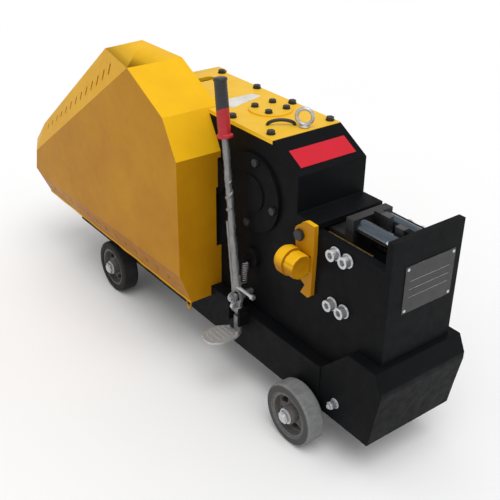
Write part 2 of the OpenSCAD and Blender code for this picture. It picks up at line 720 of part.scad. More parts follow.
// Terminal box on the motor with the cable gland, where the supply lead would enter
module terminal_box() in_frame() color([0.22, 0.23, 0.25]) {
    block(motor_x - 45, motor_x + 45, -30, 60, motor_z + motor_r - 0.9, motor_z + motor_r + 34);
    block(motor_x - 48, motor_x + 48, -33, 63, motor_z + motor_r + 34, motor_z + motor_r + 40);
    difference() {
        cyl_y(motor_x, motor_z + motor_r + 14, 60, 78, 12);
        cyl_y(motor_x, motor_z + motor_r + 14, 59, 79, 6);
    }
}

// Slotted plate that the motor stands on, for setting the belt tension
module motor_plate() in_frame() color(black_paint) difference() {
    block(motor_x - 105, motor_x + 105, -100, 128, base_top, base_top + 14);
    for (x = [-70, 70], y = [-94, 110])
        block(motor_x + x - 14, motor_x + x + 14, y - 6, y + 6, base_top - 1, base_top + 15);
}

// Belt loop outline: both pulley circles and the quadrilateral between their tangent points
module belt_loop(grow) {
    r1 = flywheel_r + grow;
    r2 = pulley_r + grow;
    dx = motor_x - input_x;
    dz = motor_z - input_z;
    span = sqrt(dx * dx + dz * dz);
    along = atan2(dz, dx);
    tip = acos((r1 - r2) / span);
    translate([input_x, input_z]) circle(r = r1);
    translate([motor_x, motor_z]) circle(r = r2);
    polygon([[input_x + r1 * cos(along + tip), input_z + r1 * sin(along + tip)],
        [motor_x + r2 * cos(along + tip), motor_z + r2 * sin(along + tip)],
        [motor_x + r2 * cos(along - tip), motor_z + r2 * sin(along - tip)],
        [input_x + r1 * cos(along - tip), input_z + r1 * sin(along - tip)]]);
}

module drive_belts() in_frame() color([0.08, 0.08, 0.08]) for (y = groove_y)
    translate([0, y + 4.2, 0]) rotate([90, 0, 0]) linear_extrude(8.4) difference() {
        belt_loop(6);
        belt_loop(-2);
    }

// ---- guards ----

guard_y = -237;
guard_t = 4;
guard_front_x = -617;
guard_in_y = -104.6;
crest_z = 790;
crest_rear_x = -1036;
crest_in_y = -74;
hem_y = -203;
hem_z = 197;
tail_x = -1530;

module corner_at(x, y, z) translate([x, y, z]) cube(0.02, center = true);

// Convex form of the belt guard, drawn in by t; in_y is its +Y limit and floor_z its lowest edge
module guard_form(t, in_y, floor_z) hull() {
    // side face: front foot, front corner, upper corner, crest, tail and fold
    corner_at(guard_front_x - t, guard_y + t, 288);
    corner_at(guard_front_x - t, guard_y + t, 610 - t * 0.4);
    corner_at(-673 - t * 0.5, guard_y + t, 707 - t * 0.6);
    corner_at(-833, guard_y + t, crest_z - t * 1.1);
    corner_at(-1483 + t, guard_y + t, 351);
    corner_at(-1502 + t, guard_y + t, 282);
    corner_at(-1442, guard_y + t, 269);
    // slanting rear band
    corner_at(-1020, -197, crest_z - t * 1.1);
    corner_at(-1455 + t, -211 + t * 0.5, 447 - t);
    corner_at(tail_x + t, -211 + t * 0.5, 370);
    corner_at(tail_x + t, -211 + t * 0.5, 292);
    // hem below the side face
    corner_at(guard_front_x - t, hem_y + t, floor_z);
    corner_at(-1480 + t * 1.4, hem_y + t, floor_z);
    // inner limit
    corner_at(guard_front_x - t, in_y, floor_z);
    corner_at(guard_front_x - t, in_y, 610 - t * 0.4);
    corner_at(-673 - t * 0.5, in_y, 707 - t * 0.6);
    corner_at(-833, in_y, crest_z - t * 1.1);
    corner_at(crest_rear_x, in_y, crest_z - t * 1.1);
    corner_at(-1455 + t, in_y, 447 - t);
    corner_at(tail_x + t, in_y, 370);
    corner_at(tail_x + t, in_y, 292);
    corner_at(-1480 + t * 1.4, in_y, floor_z);
}

// Folded sheet guard over the flywheel, belts and motor pulley, open towards the gear housing
module belt_guard() in_frame() color(yellow_paint) {
    difference() {
        guard_form(0, crest_in_y, hem_z);
        guard_form(guard_t, 0, hem_z - 6);
        block(lid_rear_x - 3, -600, guard_in_y, 0, 180, housing_top + 0.2);
        block(base_rear_x - 3, -600, -base_half_w - 1, 0, 180, base_top + 1);
        block(-640, -600, -120, 0, 344, 513);
        block(-640, -600, -housing_half_w - 10, 0, mid_z - small_cap_r - 1, mid_z + small_cap_r + 1);
    }
    difference() {
        slab_y([[guard_front_x - 56, housing_top + 0.2], [-833, crest_z - 4], [crest_rear_x, crest_z - 4],
            [-1147, housing_top + 0.2]], crest_in_y - 4, crest_in_y - 1);
        block(-700, -660, -90, -60, 700, 712);
    }
}

roof_rear_x = -1425;
roof_rear_z = 472;

// Sloping sheet roof over the motor, with a far-side skirt and a rear support leg
module motor_cover() in_frame() color(yellow_paint) {
    slab_y([[lid_rear_x - 1, housing_top - 3], [cover_crease_x, housing_top - 3],
        [roof_rear_x, roof_rear_z - 3], [roof_rear_x, roof_rear_z],
        [cover_crease_x, housing_top], [lid_rear_x - 1, housing_top]], crest_in_y + 1, 121);
    slab_y([[lid_rear_x - 1, housing_top - 3], [cover_crease_x, housing_top - 3],
        [roof_rear_x, roof_rear_z - 3], [roof_rear_x, roof_rear_z - 60],
        [cover_crease_x, housing_top - 70], [lid_rear_x - 1, housing_top - 70]], 118, 121);
    block(-1398, -1368, 118, 121, base_top, roof_rear_z + 8);
}

// ---- operating lever ----

// Two ears on the frame's side with the lever's pivot pin
module lever_bracket() in_frame() color([0.45, 0.46, 0.48]) {
    px = lever_x(lever_pivot_z);
    for (s = [-1, 1]) difference() {
        block(px + s * 23 - 4, px + s * 23 + 4, -168, -base_half_w, 196, 247);
        cyl_x(lever_y, lever_pivot_z, px - 33, px + 33, lever_pin_r);
    }
    cyl_x(lever_y, lever_pivot_z, px - 31, px + 31, lever_pin_r);
}

// Lever: flat foot with its pivot hub and clutch eye, and the long rod above
module hand_lever() in_frame() color([0.66, 0.67, 0.68]) {
    px = lever_x(lever_pivot_z);
    difference() {
        union() {
            slab_y([[lever_x(190) - 14, 190], [lever_x(190) + 14, 190],
                [lever_x(330) + 14, 330], [lever_x(330) - 14, 330]], lever_y - 4, lever_y + 4);
            block(lever_x(180) - 14, lever_x(180) + 12, lever_y - 10, lever_y - 4, 166, 214);
            cyl_x(lever_y, lever_pivot_z, px - 17, px + 17, 11.5);
            cyl_y(-482, 301, lever_y + 4, lever_y + 26, 3);
            cyl_y(lever_x(clutch_rod_z), clutch_rod_z, lever_y - 4, lever_y + 4, 21);
        }
        cyl_x(lever_y, lever_pivot_z, px - 18, px + 18, lever_pin_r + running_gap);
        cyl_y(lever_x(clutch_rod_z), clutch_rod_z, lever_y - 5, lever_y + 5, 13);
    }
    translate([lever_x(312), lever_y, 312]) rotate([0, atan(lever_lean), 0])
        cylinder(h = 470, r = lever_r);
}

grip_foot_z = 683;
grip_bore_len = (782 - 312) - (grip_foot_z - 312) / cos(atan(lever_lean)) + 1;

// Hand grip with a collar at its foot
module lever_grip() in_frame() color([0.08, 0.08, 0.08])
    translate([lever_x(grip_foot_z), lever_y, grip_foot_z]) rotate([0, atan(lever_lean), 0]) {
        difference() {
            union() {
                cylinder(h = 6, r = grip_r + 5);
                translate([0, 0, 6]) cylinder(h = 128, r = grip_r);
                translate([0, 0, 134]) cylinder(h = 8, r1 = grip_r + 1.5, r2 = grip_r - 2);
            }
            translate([0, 0, -1]) cylinder(h = grip_bore_len, r = lever_r);
        }
    }

pedal_outline = [[-526, -186], [-526, -218], [-512, -240], [-498, -246], [-482, -246], [-468, -240],
    [-454, -218], [-454, -172], [-460, lever_y - 8], [-504, lever_y - 8], [-516, -166]];

// Tread plate at the lever's foot, with cut corners, two raised ribs and two holes
module foot_pedal() in_frame() color([0.75, 0.76, 0.77]) {
    difference() {
        translate([0, 0, 160]) linear_extrude(6) polygon(pedal_outline);
        for (x = [-510, -470]) cyl_z(x, -228, 159, 167, 4.5);
    }
    for (y = [-214, -186]) block(-516, -464, y - 2, y + 2, 166, 169);
}

spring_turns = 9;
spring_r = 7.5;
wire_r = 1.7;
spring_low = [-482, -130, 306];
spring_high = [spring_boss_x, -130, 365];

// Points of the spring's centre line
function spring_point(i, steps) =
    let (a = 360 * spring_turns * i / steps)
    spring_low + (spring_high - spring_low) * i / steps + [spring_r * cos(a), spring_r * sin(a), 0];

module return_spring() in_frame() color(steel) {
    steps = spring_turns * 12;
    sides = 8;
    path = [for (i = [0 : steps]) spring_point(i, steps)];
    rings = [for (i = [0 : steps])
        let (a = 360 * spring_turns * i / steps) for (k = [0 : sides - 1])
        let (b = 360 * k / sides)
        path[i] + [wire_r * cos(b) * cos(a), wire_r * cos(b) * sin(a), wire_r * sin(b)]];
    side_faces = [for (i = [0 : steps - 1], k = [0 : sides - 1])
        [i * sides + k, i * sides + (k + 1) % sides, (i + 1) * sides + (k + 1) % sides,
            (i + 1) * sides + k]];
    caps = [[for (k = [sides - 1 : -1 : 0]) k], [for (k = [0 : sides - 1]) steps * sides + k]];
    polyhedron(points = rings, faces = concat(side_faces, caps));
}

// ---- bar stop ----

strap_profile = [[-304, 524], [-298, 537], [-278, 557], [-268, 562], [-238, 561], [-237, 500],
    [-240, 380], [-250, 371], [-276, 374], [-262, 400], [-300, 420], [-300, 500]];

// Yellow swing bracket hooked round its pivot screw, with the knob's stepped boss
module stop_bracket() in_frame() color(yellow_paint) difference() {
    union() {
        slab_y(strap_profile, -119, -107.5);
        cyl_y(stop_pivot_x, stop_pivot_z, -119, -107.5, 22);
        cyl_x(knob_y, knob_z, -302, -281, 35);
        cyl_x(knob_y, knob_z, -312, -302, 30);
    }
    cyl_y(stop_pivot_x, stop_pivot_z, -120, -106, stop_pin_r + running_gap);
    cyl_x(knob_y, knob_z, -313, -280, spindle_r + running_gap);
    cyl_x(knob_y, knob_z, -281, -246, knob_r + 1);
}

// Adjusting knob with its spindle through the boss
module stop_knob() in_frame() color(yellow_paint) {
    cyl_x(knob_y, knob_z, -280, -248, knob_r);
    cyl_x(knob_y, knob_z, -322, -280, spindle_r);
    cyl_x(knob_y, knob_z, -322, -313, 15);
}

base_frame();
nose_frame();
axle_brackets();
axles();
front_near_hub();
front_near_tyre();
front_far_hub();
front_far_tyre();
rear_near_hub();
rear_near_tyre();
rear_far_hub();
rear_far_tyre();
near_cheek();
far_cheek();
head_bed();
front_plate();
nameplate();
guide_rods();
fixed_blade();
fixed_blade_bolts();
ram();
moving_blade();
gib_strips();
gib_bolts();
housing_shell();
near_wall();
far_wall();
top_cover();
cover_bolts();
inspection_cover();
eye_bolt();
label_plate();
crankshaft();
connecting_rod();
bull_gear();
clutch_sleeve();
clutch_fork();
intermediate_shaft();
intermediate_gear();
input_shaft();
flywheel();
shaft_bushes();
bearing_caps();
cap_bolts();
motor_housing();
fan_cover();
motor_rotor();
motor_pulley();
terminal_box();
motor_plate();
drive_belts();
belt_guard();
motor_cover();
lever_bracket();
hand_lever();
lever_grip();
foot_pedal();
return_spring();
stop_bracket();
stop_knob();
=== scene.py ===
import json
import math

import bmesh
import bpy
from mathutils import Matrix, Vector

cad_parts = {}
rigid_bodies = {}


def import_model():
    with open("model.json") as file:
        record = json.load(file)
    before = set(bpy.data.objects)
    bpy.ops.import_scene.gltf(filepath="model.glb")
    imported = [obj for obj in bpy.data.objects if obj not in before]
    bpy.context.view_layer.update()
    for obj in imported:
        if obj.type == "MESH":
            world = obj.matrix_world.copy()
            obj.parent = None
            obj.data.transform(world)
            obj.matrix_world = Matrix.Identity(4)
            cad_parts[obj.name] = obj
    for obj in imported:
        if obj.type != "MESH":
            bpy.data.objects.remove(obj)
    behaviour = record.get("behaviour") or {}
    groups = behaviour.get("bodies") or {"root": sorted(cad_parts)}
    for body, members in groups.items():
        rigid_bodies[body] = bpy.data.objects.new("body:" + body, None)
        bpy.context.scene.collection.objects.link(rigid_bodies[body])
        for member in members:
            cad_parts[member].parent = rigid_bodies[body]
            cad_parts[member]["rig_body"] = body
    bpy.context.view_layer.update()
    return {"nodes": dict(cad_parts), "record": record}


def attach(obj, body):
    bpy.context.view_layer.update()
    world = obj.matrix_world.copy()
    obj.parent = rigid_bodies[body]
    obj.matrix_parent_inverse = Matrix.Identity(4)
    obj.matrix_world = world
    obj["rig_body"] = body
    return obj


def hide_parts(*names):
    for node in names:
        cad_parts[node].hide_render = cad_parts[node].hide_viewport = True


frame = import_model()
cad = frame["nodes"]
scene = bpy.context.scene
slot_of = {s["node"]: s["material_slot"] for s in frame["record"]["subparts"]}


def at(x, y, z):
    """Source millimetres (nose edge, housing centre plane, floor) to the row frame's metres."""
    return Vector(((x + 755) / 1000, (y + 17) / 1000, z / 1000))


# ---- materials ----


class Recipe:
    """One procedural material, built up from noise in the object's own coordinates."""

    def __init__(self, name):
        self.mat = bpy.data.materials.new(name)
        self.mat.use_nodes = True
        self.tree = self.mat.node_tree
        self.tree.nodes.clear()
        out = self.add("ShaderNodeOutputMaterial")
        self.shader = self.add("ShaderNodeBsdfPrincipled")
        self.join(self.shader.outputs["BSDF"], out.inputs["Surface"])
        self.place = self.add("ShaderNodeTexCoord").outputs["Object"]

    def add(self, kind, **settings):
        node = self.tree.nodes.new(kind)
        for key, value in settings.items():
            setattr(node, key, value)
        return node

    def join(self, source, target):
        self.tree.links.new(source, target)

    def feed(self, socket, value):
        if isinstance(value, bpy.types.NodeSocket):
            self.join(value, socket)
        elif isinstance(value, (tuple, list)) and len(value) == 3 and socket.type == "RGBA":
            socket.default_value = (*value, 1.0)
        else:
            socket.default_value = value

    def noise(self, scale, detail=4.0, rough=0.55, stretch=None, shift=0.0):
        source = self.place
        if stretch or shift:
            mapping = self.add("ShaderNodeMapping")
            mapping.inputs["Scale"].default_value = stretch or (1, 1, 1)
            mapping.inputs["Location"].default_value = (shift, shift * 0.7, -shift)
            self.join(source, mapping.inputs["Vector"])
            source = mapping.outputs["Vector"]
        node = self.add("ShaderNodeTexNoise")
        node.inputs["Scale"].default_value = scale
        node.inputs["Detail"].default_value = detail
        node.inputs["Roughness"].default_value = rough
        self.join(source, node.inputs["Vector"])
        return node.outputs["Fac"]

    def span(self, value, low, high, to_low=0.0, to_high=1.0):
        node = self.add("ShaderNodeMapRange")
        for name, number in (("From Min", low), ("From Max", high), ("To Min", to_low), ("To Max", to_high)):
            node.inputs[name].default_value = number
        self.join(value, node.inputs["Value"])
        return node.outputs["Result"]

    def maths(self, operation, a, b):
        node = self.add("ShaderNodeMath", operation=operation)
        self.feed(node.inputs[0], a)
        self.feed(node.inputs[1], b)
        return node.outputs[0]

    def blend(self, factor, a, b):
        node = self.add("ShaderNodeMix", data_type="RGBA")
        self.feed(node.inputs["Factor"], factor)
        self.feed(node.inputs["A"], a)
        self.feed(node.inputs["B"], b)
        return node.outputs["Result"]

    def facing(self, axis):
        split = self.add("ShaderNodeSeparateXYZ")
        self.join(self.add("ShaderNodeNewGeometry").outputs["Normal"], split.inputs[0])
        return split.outputs[axis]

    def along(self, axis):
        split = self.add("ShaderNodeSeparateXYZ")
        self.join(self.place, split.inputs[0])
        return split.outputs[axis]

    def edges(self, width):
        """1 close to a convex or concave edge, 0 on the flats."""
        bevel = self.add("ShaderNodeBevel", samples=4)
        bevel.inputs["Radius"].default_value = width
        dot = self.add("ShaderNodeVectorMath", operation="DOT_PRODUCT")
        self.join(bevel.outputs["Normal"], dot.inputs[0])
        self.join(self.add("ShaderNodeNewGeometry").outputs["Normal"], dot.inputs[1])
        return self.span(dot.outputs["Value"], 0.995, 0.86)

    def relief(self, *layers):
        """Layers of (height, depth in metres) become one bump."""
        normal = None
        for height, depth in layers:
            bump = self.add("ShaderNodeBump")
            bump.inputs["Distance"].default_value = depth
            bump.inputs["Strength"].default_value = 1.0
            self.join(height, bump.inputs["Height"])
            if normal:
                self.join(normal, bump.inputs["Normal"])
            normal = bump.outputs["Normal"]
        self.join(normal, self.shader.inputs["Normal"])

    def done(self, colour, rough, metal=0.0, specular=0.5):
        self.feed(self.shader.inputs["Base Color"], colour)
        self.feed(self.shader.inputs["Roughness"], rough)
        self.feed(self.shader.inputs["Metallic"], metal)
        self.shader.inputs["Specular IOR Level"].default_value = specular
        return self.mat


def enamel(name, base, shade, chip, dust, dust_amount=0.25, wear=0.6, gloss=(0.28, 0.5), peel=0.00012,
        painted_side_shade=None, specular=0.5):
    """Brushed or sprayed enamel: uneven colour, orange peel, settled dust, chipped edges and small scuffs;
    given a side colour, it also paints shade onto faces that turn away from the sky.
    """
    r = Recipe(name)
    patches = r.noise(4.5, 5, 0.6)
    mottle = r.noise(38, 4, 0.65, shift=3.1)
    specks = r.noise(420, 3, 0.7)
    colour = r.blend(r.span(patches, 0.3, 0.7), shade, base)
    colour = r.blend(r.span(mottle, 0.45, 0.75, 0.0, 0.22), colour, shade)
    colour = r.blend(r.span(specks, 0.62, 0.74, 0.0, 0.35), colour, dust)
    # Painted shade: faces turning from upright to sideways or downward blend towards the given darker colour,
    # broken up slightly by noise.
    if painted_side_shade:
        lean = r.span(r.facing("Z"), 0.55, -0.1)
        side_shade_and_dust_mask = r.maths("MULTIPLY", lean, r.span(r.noise(7, 5, 0.6, shift=9.0), 0.2, 0.8, 0.76, 1.0))
        colour = r.blend(side_shade_and_dust_mask, colour, painted_side_shade)
    up = r.span(r.facing("Z"), 0.5, 1.0)
    low = r.span(r.along("Z"), 0.34, 0.08)
    settle = r.maths("MAXIMUM", r.maths("MULTIPLY", up, 0.7), low)
    cloud = r.span(r.noise(13, 6, 0.7, shift=5.0), 0.38, 0.72)
    side_shade_and_dust_mask = r.maths("MULTIPLY", r.maths("MULTIPLY", settle, cloud), dust_amount)
    colour = r.blend(side_shade_and_dust_mask, colour, dust)
    edge = r.maths("MULTIPLY", r.edges(0.0022), r.span(r.noise(95, 5, 0.75, shift=1.7), 0.5, 0.62, 0.0, wear))
    scuffs = r.span(r.noise(60, 5, 0.8, (1.0, 1.0, 0.22), 7.7), 0.72, 0.76, 0.0, wear * 0.5)
    bare = r.maths("MAXIMUM", edge, scuffs)
    colour = r.blend(bare, colour, chip)
    rough = r.span(mottle, 0.3, 0.7, gloss[0], gloss[1])
    rough = r.maths("ADD", rough, r.maths("MULTIPLY", side_shade_and_dust_mask, 0.5))
    r.relief((specks, peel * 0.5), (r.noise(150, 3, 0.5), peel), (bare, -0.0001))
    return r.done(colour, rough, specular=specular)


def steel(name, base, shade, rust, rough=(0.25, 0.45), grain=(1, 1, 1), metal=0.9, stain=0.35,
        scratch=0.00008):
    """Machined, plated or worn bare steel: drawn grain, dull stains, painted shade darkening its recesses and
    edges rubbed bright.
    """
    r = Recipe(name)
    lines = r.noise(260, 4, 0.6, grain)
    patches = r.noise(26, 5, 0.65, shift=2.2)
    colour = r.blend(r.span(lines, 0.3, 0.7), shade, base)
    colour = r.blend(r.span(patches, 0.5, 0.75, 0.0, stain), colour, rust)
    # Painted shade: ambient occlusion darkens the colour to near black in recesses, socket holes and tight
    # gaps between parts.
    recess_shade = r.add("ShaderNodeAmbientOcclusion", samples=6)
    recess_shade.inputs["Distance"].default_value = 0.008
    colour = r.blend(r.span(recess_shade.outputs["AO"], 0.55, 0.25, 0.0, 0.9), colour, (0.012, 0.012, 0.013))
    bright = r.maths("MULTIPLY", r.edges(0.0015), 0.5)
    colour = r.blend(bright, colour, tuple(min(1.0, c * 1.35) for c in base))
    roughness = r.maths("ADD", r.span(lines, 0.3, 0.7, rough[0], rough[1]), r.span(patches, 0.5, 0.8, 0.0,
            0.2))
    r.relief((lines, scratch), (r.noise(900, 2, 0.5), scratch * 0.6))
    return r.done(colour, roughness, metal=r.span(patches, 0.45, 0.8, metal, metal * 0.75))


def rubber(name, base, shade, dust, dust_amount, rough=(0.6, 0.85), side=None):
    """Rubber or moulded plastic: fine pores, scuffs and dust rubbed into the high spots."""
    r = Recipe(name)
    patches = r.noise(24, 5, 0.65)
    pores = r.noise(520, 3, 0.6)
    scuffs = r.noise(85, 6, 0.75, (1, 0.35, 1), 4.0)
    colour = r.blend(r.span(patches, 0.3, 0.7), shade, base)
    colour = r.blend(r.span(scuffs, 0.42, 0.66, 0.0, dust_amount), colour, dust)
    colour = r.blend(r.span(pores, 0.6, 0.75, 0.0, 0.3), colour, shade)
    if side:
        sideways = r.span(r.maths("ABSOLUTE", r.facing("Y"), 0.0), 0.75, 0.95)
        colour = r.blend(sideways, colour, side)
    r.relief((pores, 0.00025), (scuffs, 0.0003))
    return r.done(colour, r.span(scuffs, 0.3, 0.7, rough[0], rough[1]), specular=0.15)


DUST = (0.44, 0.39, 0.32)
STEEL_CHIP = (0.34, 0.34, 0.34)

MATERIALS = {
    "frame_paint": enamel("frame_enamel", (0.0075, 0.0080, 0.0090), (0.0045, 0.0048, 0.0055), (0.050, 0.050,
            0.052), (0.014, 0.0135, 0.013), 0.2, 0.35, (0.36, 0.56), specular=0.045),
    # Hood enamel: its darker side colour is painted shade on the faces turned away from the sky.
    "yellow_sheet": enamel("hood_enamel", (0.94, 0.54, 0.010), (0.84, 0.44, 0.008), (0.30, 0.13, 0.012),
            (0.52, 0.27, 0.025), 0.10, 0.25, (0.36, 0.52), painted_side_shade=(0.33, 0.115, 0.002), specular=0.10),
    "yellow_lid": enamel("lid_enamel", (0.95, 0.58, 0.014), (0.86, 0.48, 0.010), (0.34, 0.18, 0.03), (0.70,
            0.48, 0.12), 0.2, 0.5, (0.32, 0.5), specular=0.3),
    "badge_red": enamel("badge_enamel", (0.70, 0.008, 0.030), (0.58, 0.005, 0.022), (0.62, 0.16, 0.15),
            (0.60, 0.06, 0.07), 0.05, 0.3, (0.28, 0.42), specular=0.28),
    "rating_plate": enamel("plate_black", (0.020, 0.020, 0.022), (0.013, 0.013, 0.014), (0.35, 0.35, 0.35),
            (0.16, 0.15, 0.14), 0.3, 0.5, (0.35, 0.5)),
    "polished_rod": steel("polished_rod", (0.14, 0.165, 0.20), (0.09, 0.11, 0.135), (0.06, 0.06, 0.065),
            (0.16, 0.28), (0.08, 1, 1), 1.0, 0.4),
    "machined_steel": steel("machined_steel", (0.42, 0.43, 0.45), (0.30, 0.31, 0.33), (0.16, 0.13, 0.10),
            (0.3, 0.5), (0.12, 1, 1)),
    "blade_steel": steel("blade_steel", (0.13, 0.13, 0.135), (0.08, 0.08, 0.083), (0.09, 0.07, 0.05), (0.25,
            0.42), (1, 1, 0.12), 0.8),
    "oiled_steel": steel("oiled_steel", (0.050, 0.050, 0.053), (0.030, 0.030, 0.032), (0.070, 0.055, 0.040),
            (0.3, 0.5), (0.12, 1, 1), 0.7),
    "zinc_steel": steel("zinc_steel", (0.66, 0.67, 0.69), (0.50, 0.51, 0.53), (0.30, 0.29, 0.27), (0.24,
            0.42), metal=0.8),
    "dark_bolt": steel("dark_bolt", (0.055, 0.056, 0.06), (0.03, 0.03, 0.032), (0.09, 0.07, 0.05), (0.35,
            0.55), metal=0.7),
    "bronze": steel("bronze", (0.55, 0.36, 0.14), (0.40, 0.25, 0.09), (0.20, 0.14, 0.07), (0.3, 0.5)),
    "gear_steel": steel("gear_steel", (0.34, 0.34, 0.35), (0.22, 0.22, 0.23), (0.10, 0.08, 0.06), (0.3,
            0.5), (1, 0.15, 1)),
    "cast_wheel": enamel("cast_wheel", (0.075, 0.076, 0.078), (0.045, 0.046, 0.048), (0.24, 0.23, 0.22),
            (0.27, 0.25, 0.23), 0.75, 0.5, (0.5, 0.8), 0.0005),
    "flywheel_iron": enamel("flywheel_iron", (0.10, 0.10, 0.105), (0.06, 0.06, 0.064), (0.36, 0.36, 0.36),
            (0.22, 0.20, 0.17), 0.4, 0.5, (0.4, 0.65), 0.0004),
    "tyre_front": rubber("tyre_front", (0.20, 0.205, 0.205), (0.15, 0.153, 0.153), (0.29, 0.29, 0.285), 0.5,
            side=(0.07, 0.07, 0.07)),
    "tyre_rear": rubber("tyre_rear", (0.022, 0.022, 0.023), (0.014, 0.014, 0.015), (0.055, 0.053, 0.05), 0.4),
    "motor_paint": enamel("motor_paint", (0.045, 0.085, 0.115), (0.03, 0.06, 0.085), (0.3, 0.3, 0.3), DUST,
            0.35, 0.5, (0.35, 0.55)),
    "fan_plastic": rubber("fan_plastic", (0.030, 0.030, 0.033), (0.020, 0.020, 0.022), (0.16, 0.15, 0.14),
            0.3, (0.45, 0.65)),
    "box_plastic": rubber("box_plastic", (0.045, 0.047, 0.05), (0.03, 0.031, 0.034), (0.18, 0.17, 0.15),
            0.3, (0.45, 0.65)),
    "belt_rubber": rubber("belt_rubber", (0.014, 0.014, 0.014), (0.008, 0.008, 0.008), (0.10, 0.10, 0.10),
            0.4),
    "lever_steel": steel("lever_steel", (0.34, 0.34, 0.34), (0.19, 0.19, 0.195), (0.15, 0.12, 0.09), (0.32,
            0.6), (1, 1, 0.15), 0.75, 0.55, 0.0003),
    "pedal_steel": steel("pedal_steel", (0.60, 0.60, 0.60), (0.42, 0.42, 0.42), (0.30, 0.27, 0.23), (0.35,
            0.6), metal=0.6, stain=0.5, scratch=0.0003),
    "spring_steel": steel("spring_steel", (0.45, 0.45, 0.47), (0.30, 0.30, 0.31), (0.16, 0.13, 0.10), (0.25,
            0.45)),
}


def grip_material():
    """Black rubber above, a crimson sleeve below; the boundary runs slightly aslant round the grip."""
    r = Recipe("grip_rubber")
    height = r.along("Z")
    slant = r.maths("MULTIPLY", r.along("X"), 0.55)
    wavy = r.maths("MULTIPLY", r.noise(40, 2, 0.5), 0.004)
    level = r.maths("ADD", r.maths("SUBTRACT", height, slant), wavy)
    upper = r.span(level, GRIP_SPLIT - 0.0008, GRIP_SPLIT + 0.0008)
    pores = r.noise(480, 3, 0.6)
    black = r.blend(r.span(r.noise(30, 5, 0.6), 0.35, 0.7), (0.010, 0.010, 0.011), (0.026, 0.026, 0.028))
    red = r.blend(r.span(r.noise(26, 5, 0.6, shift=2.0), 0.3, 0.7), (0.36, 0.004, 0.012), (0.50, 0.010,
            0.022))
    colour = r.blend(upper, red, black)
    colour = r.blend(r.span(r.noise(80, 6, 0.75), 0.66, 0.8, 0.0, 0.3), colour, (0.2, 0.17, 0.16))
    r.relief((pores, 0.0002))
    return r.done(colour, r.span(pores, 0.3, 0.7, 0.3, 0.48), specular=0.5)


def sticker_material():
    """Blank paper label, yellowed and scuffed."""
    r = Recipe("paper_label")
    colour = r.blend(r.span(r.noise(20, 5, 0.7), 0.35, 0.7), (0.62, 0.60, 0.52), (0.82, 0.81, 0.76))
    colour = r.blend(r.span(r.noise(120, 5, 0.8, shift=3.0), 0.6, 0.68, 0.0, 0.6), colour, (0.42, 0.33, 0.16))
    r.relief((r.noise(700, 2, 0.5), 0.0001))
    return r.done(colour, r.span(r.noise(90, 3, 0.5), 0.3, 0.7, 0.45, 0.7))


# ---- mesh tools ----


def read(node):
    """The CAD node's mesh as clean polygons."""
    bm = bmesh.new()
    bm.from_mesh(cad[node].data)
    bmesh.ops.remove_doubles(bm, verts=bm.verts, dist=0.000004)
    bmesh.ops.dissolve_limit(bm, angle_limit=math.radians(0.5), verts=bm.verts, edges=bm.edges)
    return bm


def round_edges(bm, width, angle=32, segments=2, chosen=None):
    """Rounds the sharp edges of a mesh to a real radius."""
    limit = math.radians(angle)
    sharp = chosen or [e for e in bm.edges if len(e.link_faces) == 2 and e.calc_face_angle(0) > limit]
    if sharp:
        bmesh.ops.bevel(bm, geom=sharp, offset=width, offset_type="OFFSET", segments=segments, profile=0.6,
                        affect="EDGES", clamp_overlap=True)
    return bm


def show(name, bm, body, material, stands_for=(), smooth=38):
    """Turns a bmesh into a piece that rides on a CAD body and may stand for CAD nodes."""
    mesh = bpy.data.meshes.new(name)
    bmesh.ops.recalc_face_normals(bm, faces=bm.faces)
    bm.to_mesh(mesh)
    bm.free()
    mesh.polygons.foreach_set("use_smooth", [True] * len(mesh.polygons))
    mesh.set_sharp_from_angle(angle=math.radians(smooth))
    piece = bpy.data.objects.new(name, mesh)
    scene.collection.objects.link(piece)
    even = piece.modifiers.new("even_normals", "WEIGHTED_NORMAL")
    even.keep_sharp = True
    even.weight = 90
    mesh.materials.append(material)
    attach(piece, body)
    if stands_for:
        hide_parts(*stands_for)
    return piece


def body_of(node):
    return cad[node]["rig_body"]


def softened(node, width=0.0012, angle=32, segments=2):
    """The CAD node again, with its edges rounded as the real piece's are."""
    bm = round_edges(read(node), width, angle, segments)
    slot = slot_of[node]
    return show(node + "_skin", bm, body_of(node), MATERIALS[slot], (node,))


def tube(points, radii, sides=14, caps=True, closed=False):
    """A round bar swept along points, with one radius per point."""
    bm = bmesh.new()
    count = len(points)
    rings = []
    guide = None
    for i, point in enumerate(points):
        before = points[i - 1] if (i or closed) else points[i]
        after = points[(i + 1) % count] if (closed or i + 1 < count) else points[i]
        axis = (after - before).normalized()
        if guide is None:
            guide = axis.orthogonal().normalized()
        guide = (guide - axis * guide.dot(axis)).normalized()
        side = axis.cross(guide)
        ring = []
        for k in range(sides):
            a = 2 * math.pi * k / sides
            ring.append(bm.verts.new(point + (guide * math.cos(a) + side * math.sin(a)) * radii[i]))
        rings.append(ring)
    for i in range(count if closed else count - 1):
        a, b = rings[i], rings[(i + 1) % count]
        for k in range(sides):
            bm.faces.new((a[k], a[(k + 1) % sides], b[(k + 1) % sides], b[k]))
    if caps and not closed:
        bm.faces.new(rings[0][::-1])
        bm.faces.new(rings[-1])
    return bm


